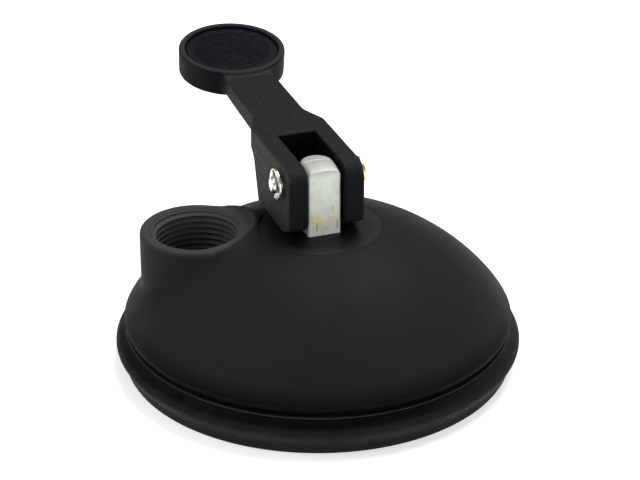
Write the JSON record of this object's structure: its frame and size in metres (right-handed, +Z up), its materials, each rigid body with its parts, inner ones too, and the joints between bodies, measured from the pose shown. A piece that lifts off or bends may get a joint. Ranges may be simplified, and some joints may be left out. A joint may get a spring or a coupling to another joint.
{
  "type": "vacuum suction cup",
  "caption": "Round vacuum suction cup with a black dome cover, a threaded port at one side, a rubber pad and a folding cam lever that pulls the pad's middle up.",
  "frame": {"origin": "on the cup's axis, in the plane of the sealing lip", "axes": "+Z up out of the surface the cup holds to, +Y the way the locked lever points, +X along the pivot pin"},
  "size_m": [0.12, 0.1582, 0.0693],
  "materials": {
    "cover_black": "satin moulded black",
    "wear_black": "smooth black, slightly oiled",
    "bush_acetal": "smooth natural acetal",
    "rubber_black": "matte moulded rubber with fine specks",
    "lever_black": "fine spark-eroded grain, black",
    "grip_black": "matte, finely ribbed",
    "post_zinc": "zinc plated, pale yellow passivated",
    "spring_steel": "bright drawn wire",
    "plate_zinc": "clear zinc plate",
    "pin_steel": "bright ground steel",
    "clip_bright": "bright nickel",
    "clip_yellow": "yellow passivated zinc"
  },
  "bodies": {
    "cover": {"cover": "cover_black", "cam_wear_plate": "wear_black", "guide_bush": "bush_acetal", "suction_pad": "rubber_black", "spring_washer": "plate_zinc", "return_spring": "spring_steel"},
    "post": {"pull_post": "post_zinc", "spring_seat": "plate_zinc", "backing_plate": "plate_zinc", "post_nut": "plate_zinc"},
    "lever": {"lever": "lever_black", "thumb_grip": "grip_black", "pivot_pin": "pin_steel", "e_clip_left": "clip_bright", "e_clip_right": "clip_yellow"}
  },
  "joints": [
    {"name": "post_slide", "type": "slide", "parent": "cover", "child": "post", "axis": [0, 0, 1], "range_m": [-0.003, 0], "deforming": ["suction_pad", "return_spring"]},
    {"name": "lever_hinge", "type": "hinge", "parent": "post", "child": "lever", "pos_m": [0, 0, 0.058], "axis": [1, 0, 0], "range_deg": [0, 90]}
  ],
  "couplings": [
    {"joint": "post_slide", "follows": "lever_hinge", "m_per_rad": -0.0019099}
  ]
}
